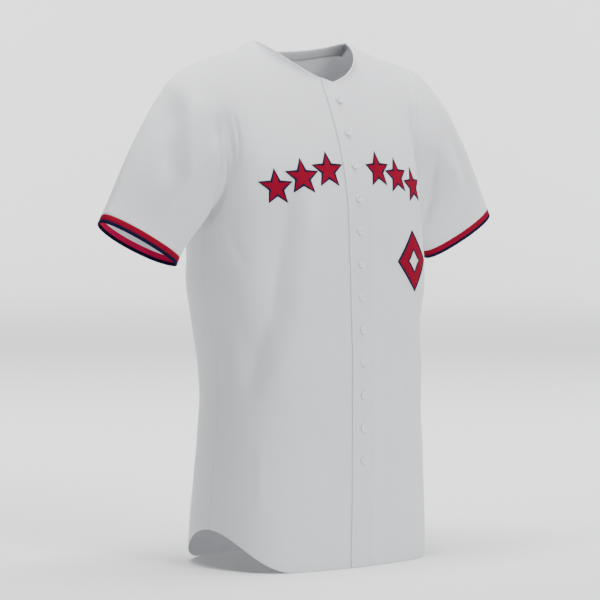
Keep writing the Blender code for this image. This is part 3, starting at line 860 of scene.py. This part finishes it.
TAPE = {"wale": 0.8, "course": 1.6, "roughness": 0.8, "sheen": 0.0, "depth": 0.12, "gloss": 0.08}
BINDING = {**TAPE, "course": 1.2, "gloss": 0.06}
TWILL = {**TAPE, "wale": 0.9, "course": 0.9, "depth": 0.06}

cloth_grey = knit_material("cloth_grey", CLOTH_GREY, CLOTH_SHADE, glow=CLOTH_GLOW)
band_red = knit_material("band_red", BAND_RED, BAND_RED_SHADE, **TAPE)
# The band's inner faces get a brighter copy of its red: painted light for the inside, which is less lit.
band_red_inside_painted_light = knit_material("band_red_inside_painted_light", BAND_RED_INSIDE_PAINTED_LIGHT, BAND_RED_INSIDE_PAINTED_LIGHT_DARKER, **TAPE)
edge_navy = knit_material("edge_navy", EDGE_NAVY, EDGE_NAVY_SHADE, **BINDING)
patch_red = knit_material("patch_red", BAND_RED, BAND_RED_SHADE, **TWILL)
thread_white = clouded_material("thread_white", THREAD_WHITE, 0.86, 1400.0, 2.0, (0.3, 0.05), Roughness=0.5,
                                Sheen_Weight=0.2)
satin_navy = satin_material("satin_navy", EDGE_NAVY, EDGE_NAVY_SHADE)
satin_white = satin_material("satin_white", THREAD_WHITE, CLOTH_SHADE)
button_resin = clouded_material("button_resin", BUTTON_WHITE, 0.93, 120.0, 3.0, (0.15, 0.1), Roughness=0.22,
                                Coat_Weight=0.4, Coat_Roughness=0.1)


# Camera: the photograph's view of the wearer's right front, from a little above the chest
CAMERA_AZIMUTH = radians(-40)
CAMERA_DISTANCE = 4.4
CAMERA_HEIGHT = -0.143
CAMERA_AIM_HEIGHT = -0.370
FRAME_HEIGHT = 0.86
SENSOR = 36

looking = Vector((-sin(CAMERA_AZIMUTH), cos(CAMERA_AZIMUTH), 0))
sideways = Vector((looking.y, -looking.x, 0))
camera_place = -looking * CAMERA_DISTANCE + Vector((0, 0, CAMERA_HEIGHT))
aim = Vector((0, 0, CAMERA_AIM_HEIGHT)) - camera_place
camera_data = bpy.data.cameras.new("camera")
camera_data.sensor_width = SENSOR
camera_data.lens = SENSOR * aim.length / FRAME_HEIGHT


def put(name, data, place, direction):
    """A camera or light at a place, turned to look in a direction."""
    made = bpy.data.objects.new(name, data)
    made.location = place
    made.rotation_euler = direction.to_track_quat("-Z", "Y").to_euler()
    bpy.context.scene.collection.objects.link(made)
    return made


bpy.context.scene.camera = put("camera", camera_data, camera_place, aim)


# Cloth pieces


def dress(piece, node):
    """Lets a piece stand for its solid."""
    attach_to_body(piece, "root")
    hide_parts(node)
    return piece


def attach(piece):
    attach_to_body(piece, "root")
    return piece


front, back, sleeve_left, sleeve_right = coat()
middle = front.points.shape[1] // 2
sleeve_end = len(sleeve_left.points) - BAND_ROWS - EDGE_ROWS - 1

# The two fronts lap at the placket
LAP_COLUMNS = 6
right_front = joined(part_of(front, columns=slice(0, middle + 1)),
                     strip_at_x(front, np.arange(1, LAP_COLUMNS + 1) / LAP_COLUMNS * RIGHT_LAP))
# The left front's edge has closer columns where its stitches are
PLACKET_EDGE = (-19, -18.2, -16.5, -14.8, -13.5, -12.2, -9, -6, -3)
left_front = joined(strip_at_x(front, np.array(PLACKET_EDGE, float)),
                    part_of(front, columns=slice(middle, None)))
lift = LAP_LIFT * ease((LIFT_STARTS - left_front.points[..., 0]) / (LIFT_STARTS - LIFT_FULL))
lift -= stitch_dent(left_front.points[..., 0] + LEFT_LAP, PLACKET_STITCH)
left_front = raised(left_front, lift)

front_right_cloth = dress(shell("cloth_front_right", right_front, 1, cloth_grey), "front_right")
front_left_cloth = dress(shell("cloth_front_left", left_front, 1, cloth_grey, LAP_WALL),
                         "front_left")
back_cloth = dress(shell("cloth_back", back, -1, cloth_grey), "back")

for side_name, turn, sleeve in (("left", 1, sleeve_left), ("right", -1, sleeve_right)):
    cloth = part_of(sleeve, rows=slice(0, sleeve_end + 1))
    piece = dress(shell("cloth_sleeve_" + side_name, cloth, turn, cloth_grey), "sleeve_" + side_name)
    band = part_of(sleeve, rows=slice(sleeve_end, sleeve_end + BAND_ROWS + 1))
    across_band = 2 * np.arange(BAND_ROWS + 1)[:, None] / BAND_ROWS - 1
    band = raised(band, BAND_RISE * (1 - across_band**4))
    # The band's inner faces take the brighter red, a painted light.
    band_piece = dress(shell("cuff_band_" + side_name, band, turn, band_red, inner_material=band_red_inside_painted_light),
                       "band_" + side_name)
    edge = part_of(sleeve, rows=slice(sleeve_end + BAND_ROWS, None))
    across_edge = 2 * np.arange(EDGE_ROWS + 1)[:, None] / EDGE_ROWS - 1
    edge = raised(edge, EDGE_RISE * np.sqrt(1 - across_edge**2))
    edge_piece = dress(shell("cuff_edge_" + side_name, edge, turn, edge_navy, CLOTH_WALL + EDGE_RISE),
                       "edge_" + side_name)


# Sewing: short stitches that dip into the cloth at both ends
STITCH_STATIONS = (-0.5, -0.4, -0.2, 0.0, 0.2, 0.4, 0.5)
STITCH_SWELL = (0.45, 0.85, 1.0, 1.0, 1.0, 0.85, 0.45)
STITCH_DIP = 1.6 * THREAD_RADIUS
THREAD_LIFT = 0.6
LOOK_AHEAD = 0.5


def tubes(name, centres, along, normals, length, radius, dip):
    """One mesh of many short bowed tubes of thread."""
    around = np.arange(STITCH_SIDES) * 2 * pi / STITCH_SIDES
    aside = unit(np.cross(normals, along))
    rings = []
    for station, swell in zip(STITCH_STATIONS, STITCH_SWELL):
        above = radius * THREAD_LIFT - dip * (2 * station)**2
        centre = centres + along * station * length + normals * above
        for angle in around:
            rings.append(centre + radius * swell * (cos(angle) * aside + sin(angle) * normals))
    points = np.stack(rings, axis=1)
    each = points.shape[1]
    first = each * np.arange(len(points))[:, None, None]
    quads = (np.array(ring_faces(len(STITCH_STATIONS), STITCH_SIDES)) + first).reshape(-1, 4).tolist()
    caps = np.array([list(range(STITCH_SIDES))[::-1], list(range(each - STITCH_SIDES, each))])
    ends = (caps + first).reshape(-1, STITCH_SIDES).tolist()
    return make_mesh(name, points.reshape(-1, 3), quads + ends, thread_white)


def sew(name, lines):
    """A row of stitches along each line of points and normals."""
    rows = []
    for points, normals in lines:
        run = lengths_along(points, 0)
        count = int(run[-1] / STITCH_PITCH)
        at = (np.arange(count) + 0.5) * run[-1] / count
        centre, normal = place_on(at, run, points, normals)
        ahead, behind = (interpolated(at + step, run, points) for step in (LOOK_AHEAD, -LOOK_AHEAD))
        rows.append((centre, unit(ahead - behind), normal))
    centres, along, turned = (np.vstack(values) for values in zip(*rows))
    return attach(tubes(name, centres, along, turned, STITCH_LENGTH, THREAD_RADIUS, STITCH_DIP))


def line_from_border(cloth, distance, top, columns=slice(None)):
    """Points and normals at a distance below the top row or above the lowest one."""
    points, normals, up = cloth.points[:, columns], cloth.normals[:, columns], cloth.up[:, columns]
    at = up[-1] - distance if top else np.full(up.shape[1], float(distance))
    places = [place_on(at[c], up[:, c], points[:, c], normals[:, c]) for c in range(len(at))]
    return [np.array(values) for values in zip(*places)]


def line_at_x(cloth, x, first, last):
    """Points and normals down the front at a given x, which lies between two of its columns."""
    rows = zip(cloth.points[:, first:last], cloth.normals[:, first:last])
    places = [place_on(x, points[:, 0], points, normals) for points, normals in rows]
    return [np.array(values) for values in zip(*places)]


def sew_edges(name, cloth, neck, lines=()):
    """Stitches below the neckline and above the hem, and along any other lines."""
    return sew(name, [*lines, line_from_border(cloth, NECK_STITCH, True, neck),
                      line_from_border(cloth, HEM_STITCH, False)])


# Stitches run a few columns past the neckline's ends
NECK_SPARE = 3
UNDERLAP_SPARE = 4
placket_columns = len(PLACKET_EDGE)
neck_columns = (front.points.shape[1] - 1) * NECK_COLUMNS // (2 * COLUMNS)
left_neck = slice(0, placket_columns + neck_columns + NECK_SPARE)
right_neck = slice(middle - neck_columns - NECK_SPARE, right_front.points.shape[1] - UNDERLAP_SPARE)
back_neck = slice(middle - neck_columns - NECK_SPARE, middle + neck_columns + NECK_SPARE + 1)
# The columns between which each line down the placket lies
placket_line = line_at_x(left_front, PLACKET_STITCH - LEFT_LAP, 0, placket_columns + 4)
inner_line = line_at_x(left_front, PLACKET_INNER, placket_columns - 2, placket_columns + 12)
front_stitches = sew_edges("stitches_front_left", left_front, left_neck, (placket_line, inner_line))
right_stitches = sew_edges("stitches_front_right", right_front, right_neck)
back_stitches = sew_edges("stitches_back", back, back_neck)
for side_name, sleeve in (("left", sleeve_left), ("right", sleeve_right)):
    line = line_from_border(part_of(sleeve, rows=slice(0, sleeve_end + 1)), CUFF_STITCH, True)
    sew("stitches_cuff_" + side_name, [line])

# Back neck facing, inside the cloth
FACING_SPARE = 2
facing_rows = len(back.points) - 1 - TORSO_STEPS - len(NEAR_SEAM)
facing_reach = neck_columns + FACING_SPARE
facing = part_of(back, rows=slice(facing_rows, None),
                 columns=slice(middle - facing_reach, middle + facing_reach + 1))
facing = raised(facing, -CLOTH_WALL - FACING_CLEAR)
facing.points[-1] += unit(facing.points[-2] - facing.points[-1]) * FACING_BELOW_EDGE
facing_piece = dress(shell("neck_facing_strip", facing, -1, cloth_grey, FACING_WALL), "neck_facing")


def row_place(cloth, column, z):
    """Point and normal of one column at height z."""
    points, normals = cloth.points[:, column], cloth.normals[:, column]
    return place_on(z, points[:, 2], points, normals)


def make_button(number, place, normal):
    """A four-hole button with a raised rim, sewn on with two bars of thread."""
    up = np.array([0, 0, 1.0])
    across = unit(np.cross(up, normal))
    tall = np.cross(normal, across)
    turn = np.arange(BUTTON_SEGMENTS) * 2 * pi / BUTTON_SEGMENTS
    points = []
    for radius, height in BUTTON_PROFILE:
        x, y = radius * np.cos(turn), radius * np.sin(turn)
        sunk = np.zeros(BUTTON_SEGMENTS)
        if height > BUTTON_WELL:
            for hole_x in (-BUTTON_HOLE, BUTTON_HOLE):
                for hole_y in (-BUTTON_HOLE, BUTTON_HOLE):
                    sunk += np.exp(-((x - hole_x)**2 + (y - hole_y)**2) / BUTTON_HOLE_WIDTH**2)
        level = BUTTON_GAP + height - BUTTON_HOLE_DEPTH * sunk
        points.append(place + x[:, None] * across + y[:, None] * tall + level[:, None] * normal)
    points = np.vstack(points)
    faces = ring_faces(len(BUTTON_PROFILE), BUTTON_SEGMENTS)
    last = (len(BUTTON_PROFILE) - 1) * BUTTON_SEGMENTS
    faces.append(list(range(last, last + BUTTON_SEGMENTS)))
    faces.append(list(range(BUTTON_SEGMENTS))[::-1])
    piece = dress(make_mesh(f"resin_button_{number:02d}", points, faces, button_resin),
                  f"button_{number:02d}")
    top = place + (BUTTON_GAP + BUTTON_PROFILE[-1][1] + BUTTON_THREAD_RISE) * normal
    centres = np.array([top - BUTTON_HOLE * across, top + BUTTON_HOLE * across])
    bars = tubes(f"button_thread_{number:02d}", centres, np.array([tall, tall]), np.array([normal, normal]),
                 2 * BUTTON_HOLE, BUTTON_THREAD, BUTTON_THREAD_DIP)
    attach(bars)
    return [piece, bars]


SurfaceMap = namedtuple("SurfaceMap", "levels across table")
MAP_STEP = 2.0
INSIDE_END = 1.001


def surface_map(cloth, z_low, z_high, reach_low, reach_high):
    """The cloth's points and normals by height and by distance round from the centre front."""
    levels = np.arange(z_low, z_high + MAP_STEP, MAP_STEP)
    count = cloth.points.shape[1]
    rows = np.zeros((len(levels), count, 6))
    for column in range(count):
        z = cloth.points[:, column, 2]
        rows[:, column, :3] = interpolated(levels, z, cloth.points[:, column])
        rows[:, column, 3:] = interpolated(levels, z, cloth.normals[:, column])
    across = np.arange(reach_low, reach_high + MAP_STEP, MAP_STEP)
    table = np.zeros((len(levels), len(across), 6))
    for level, row in enumerate(rows):
        along = lengths_along(row[:, :2], 0)
        along -= np.interp(0, row[:, 0], along)
        table[level] = interpolated(across, along, row)
    return SurfaceMap(levels, across, table)


def on_surface(chart, across, z):
    """Points and normals at the given places of a surface map."""
    row = np.clip((z - chart.levels[0]) / MAP_STEP, 0, len(chart.levels) - INSIDE_END)
    column = np.clip((across - chart.across[0]) / MAP_STEP, 0, len(chart.across) - INSIDE_END)
    r, c = row.astype(int), column.astype(int)
    down, aside = (row - r)[..., None], (column - c)[..., None]
    table = chart.table
    values = ((table[r, c] * (1 - aside) + table[r, c + 1] * aside) * (1 - down)
              + (table[r + 1, c] * (1 - aside) + table[r + 1, c + 1] * aside) * down)
    return values[..., :3], unit(values[..., 3:])


# Sewn-on patches: a twill fill inside a satin-stitched border
PATCH_FILL_RISE = 0.45
PATCH_RINGS = 9
PATCH_CENTRE = 0.02
PATCH_SAMPLE = 2.0
STAR_WAIST = 0.46
SLOT_END_POINTS = 9
BORDER_WIDTH = 4.2
BORDER_RISE = 0.55
BORDER_PROFILE = ((0.0, -0.5), (0.04, 0.35), (0.2, 0.8), (0.5, 1.0), (0.8, 0.8), (0.96, 0.35), (1.0, -0.5))


def sampled(corners):
    """Points along a closed outline, its corners among them."""
    points = []
    for here, there in zip(corners, corners[1:] + corners[:1]):
        count = max(2, ceil(hypot(there[0] - here[0], there[1] - here[1]) / PATCH_SAMPLE))
        points += [(here[0] + (there[0] - here[0]) * i / count, here[1] + (there[1] - here[1]) * i / count)
                   for i in range(count)]
    return np.array(points)


def patch(name, chart, centre, outline, fill=patch_red, border=satin_navy, border_width=BORDER_WIDTH,
          lift=0.0):
    """A patch round its centre; the outline is given in millimetres from there."""
    reach = np.linalg.norm(outline, axis=1)
    count = len(outline)
    rings = np.linspace(PATCH_CENTRE, 1, PATCH_RINGS)[:, None, None] * outline[None]
    points, normals = on_surface(chart, centre[0] + rings[..., 0], centre[1] + rings[..., 1])
    rise = np.full(PATCH_RINGS, PATCH_FILL_RISE + lift)
    rise[-1] = lift
    fill_points = (points + rise[:, None, None] * normals).reshape(-1, 3)
    fill_flat = rings.reshape(-1, 2) + np.array(centre)
    faces = np.array(ring_faces(PATCH_RINGS, count))[:, FLIPPED].tolist()
    faces.append(list(range(count)))
    closed = np.append(np.arange(count), 0)
    run = lengths_along(outline[closed], 0)
    first = len(fill_points)
    strip_points, strip_flat = [], []
    for share, height in BORDER_PROFILE:
        scale = 1 - border_width * (1 - share) / reach
        outer = outline * scale[:, None]
        points, normals = on_surface(chart, centre[0] + outer[:, 0], centre[1] + outer[:, 1])
        strip_points.append((points + (PATCH_FILL_RISE + lift + BORDER_RISE * height) * normals)[closed])
        strip_flat.append(np.stack([run, np.full(count + 1, share * border_width)], axis=1))
    strip_faces = grid_faces(len(BORDER_PROFILE), count + 1, first)[:, FLIPPED].tolist()
    points = np.vstack([fill_points] + strip_points)
    flat = np.vstack([fill_flat] + strip_flat)
    made = make_mesh(name, points, faces + strip_faces, fill, flat)
    made.data.materials.append(border)
    for polygon in made.data.polygons[len(faces):]:
        polygon.material_index = 1
    return attach(made)


def star(radius):
    """Outline of a plain five-pointed star."""
    corners = []
    for point in range(10):
        reach = radius * (STAR_WAIST if point % 2 else 1)
        angle = pi / 2 + point * pi / 5
        corners.append((reach * cos(angle), reach * sin(angle)))
    return sampled(corners)


def diamond(half_width, half_height):
    return sampled([(half_width, 0), (0, half_height), (-half_width, 0), (0, -half_height)])


def stadium(length, width):
    """Outline of an upright slot with round ends."""
    radius = width / 2
    return np.array([(radius * cos(start + turn), end * (length / 2 - radius) + radius * sin(start + turn))
                     for start, end in ((0, 1), (pi, -1)) for turn in np.linspace(0, pi, SLOT_END_POINTS)])


left_chart = surface_map(left_front, -640, -70, -24, 190)
right_chart = surface_map(right_front, -400, -100, -190, 12)
STAR_RADIUS = 27
STAR_PLACES = (46, 88, 129)
ARCH_TOP = -180
ARCH_DROP = 30
ARCH_REACH = 137
on_left, on_right = [], []
for number, reach in enumerate(STAR_PLACES):
    height = ARCH_TOP - ARCH_DROP * (reach / ARCH_REACH)**2
    for side_name, side, chart, pieces in (("left", LEFT, left_chart, on_left),
                                           ("right", RIGHT, right_chart, on_right)):
        pieces.append(patch(f"star_{side_name}_{number}", chart, (side * reach, height), star(STAR_RADIUS)))
DIAMOND_PLACE = (112, -313)
DIAMOND_OUTER = diamond(38, 44)
DIAMOND_INNER = diamond(15, 17.5)
INNER_BORDER = 3.0
INNER_LIFT = 0.3
on_left.append(patch("diamond_outer", left_chart, DIAMOND_PLACE, DIAMOND_OUTER))
on_left.append(patch("diamond_inner", left_chart, DIAMOND_PLACE, DIAMOND_INNER, cloth_grey, satin_navy,
                     INNER_BORDER, INNER_LIFT))

# Buttons and their buttonholes down the centre of the left front
for number in range(1, BUTTON_COUNT + 1):
    z = BUTTON_TOP_Z - (number - 1) * BUTTON_PITCH
    place, normal = row_place(left_front, placket_columns, z)
    on_left += make_button(number, place, normal)
    on_left.append(patch(f"buttonhole_{number:02d}", left_chart, (0, z), stadium(*BUTTONHOLE), cloth_grey,
                         satin_white, BUTTONHOLE_BORDER))


# Studio
FLOOR_DROP = 0.0005
STAGE_WHITE = (0.86, 0.865, 0.87)
floor_z = cad_low.z - FLOOR_DROP
FLOOR_HALF = 12
WALL_HEIGHT = 8
FLOOR_BEND = 3
BEND_POINTS = 17


def make_stage():
    """A pale floor that turns up into a plain backdrop behind the jersey, seen from the camera."""
    bend = FLOOR_BEND
    turns = np.linspace(0, pi / 2, BEND_POINTS)
    profile = [(-FLOOR_HALF, 0.0)]
    profile += [(FLOOR_HALF - bend + bend * sin(turn), bend - bend * cos(turn)) for turn in turns]
    profile += [(FLOOR_HALF, WALL_HEIGHT)]
    points = [looking * reach + sideways * offset + Vector((0, 0, floor_z + height))
              for reach, height in profile for offset in (-2 * FLOOR_HALF, 2 * FLOOR_HALF)]
    faces = [(2 * i, 2 * i + 1, 2 * i + 3, 2 * i + 2) for i in range(len(profile) - 1)]
    mesh = bpy.data.meshes.new("studio")
    mesh.from_pydata(points, [], faces)
    mesh.materials.append(clouded_material("studio_white", STAGE_WHITE, 0.98, 1.5, 2.0, Roughness=0.9))
    mesh.shade_smooth()
    made = bpy.data.objects.new("studio", mesh)
    bpy.context.scene.collection.objects.link(made)


make_stage()

Light = namedtuple("Light", "name aside towards_camera height size power")
LIGHTS = (
    Light("key", 2.3, 2.3, 1.7, 1.2, 105),
    Light("fill", -2.6, 2.0, 0.4, 2.4, 3),
    Light("top", -0.1, 0.2, 2.2, 1.5, 125),
)
# These face away from the jersey and brighten the floor behind it and the backdrop
BACKDROP_LIGHTS = (
    Light("backdrop_0", -2.6, -1.2, 2.2, 2.0, 260),
    Light("backdrop_1", 2.6, -1.2, 2.2, 2.0, 260),
    Light("backdrop_2", -4.0, -6.5, 3.5, 2.0, 520),
    Light("backdrop_3", 4.0, -6.5, 3.5, 2.0, 520),
)
LIGHT_TARGET = Vector((0, 0, -0.25))
BACKDROP_DIRECTION = looking * 3 + Vector((0, 0, -1.6))


def make_light(light, direction=None):
    """A square light that shines in a direction, or at the jersey."""
    data = bpy.data.lights.new(light.name, "AREA")
    data.shape = "SQUARE"
    data.size = light.size
    data.energy = light.power
    place = sideways * light.aside - looking * light.towards_camera + Vector((0, 0, light.height))
    put(light.name, data, place, LIGHT_TARGET - place if direction is None else direction)


for entry in LIGHTS:
    make_light(entry)
for entry in BACKDROP_LIGHTS:
    make_light(entry, BACKDROP_DIRECTION)

AIR_COLOUR = (0.95, 0.97, 1.0, 1)
AIR_STRENGTH = 0.25
world = bpy.data.worlds.new("studio_air")
bpy.context.scene.world = world
world.use_nodes = True
air = world.node_tree.nodes["Background"].inputs
air["Color"].default_value = AIR_COLOUR
air["Strength"].default_value = AIR_STRENGTH
